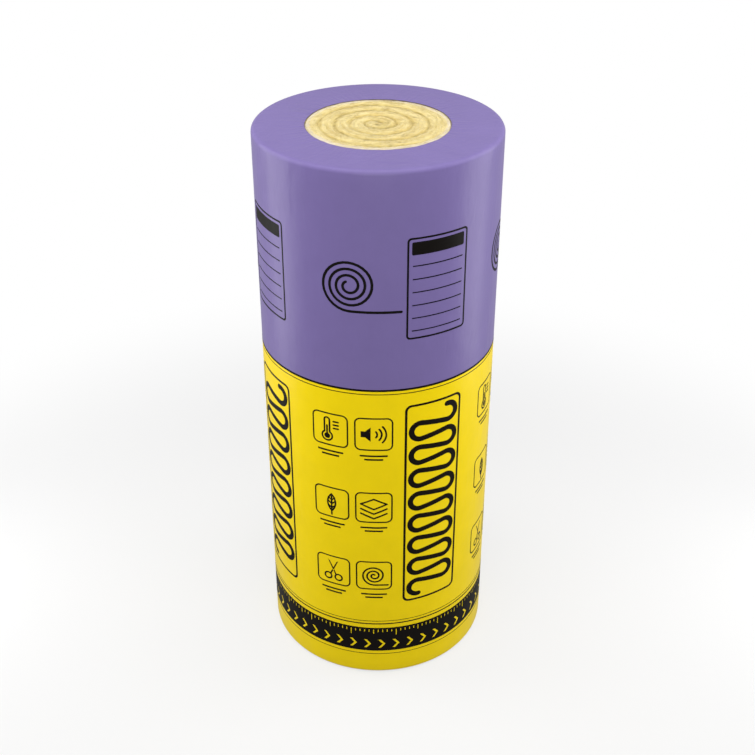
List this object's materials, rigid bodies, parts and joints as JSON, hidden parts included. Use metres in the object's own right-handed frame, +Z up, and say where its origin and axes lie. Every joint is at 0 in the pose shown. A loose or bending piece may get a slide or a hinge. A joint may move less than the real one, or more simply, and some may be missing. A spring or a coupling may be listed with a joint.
{
  "type": "insulation roll",
  "caption": "Standing roll of compressed glass wool blanket in a printed plastic film sleeve, with a round opening at each end that shows the wool's turns.",
  "frame": {"origin": "centre of the end face that the roll stands on", "axes": "+Z up along the roll's axis; the roll is turned about it, so X and Y are any two directions across it"},
  "size_m": [0.485, 0.4848, 1.2008],
  "materials": {
    "glass_wool": "fibrous, matt, cut across the fibres",
    "printed_film": "satin polyethylene film, printed yellow below and violet above"
  },
  "bodies": {
    "root": {"wool_roll": "glass_wool", "film_sleeve": "printed_film"}
  },
  "joints": []
}
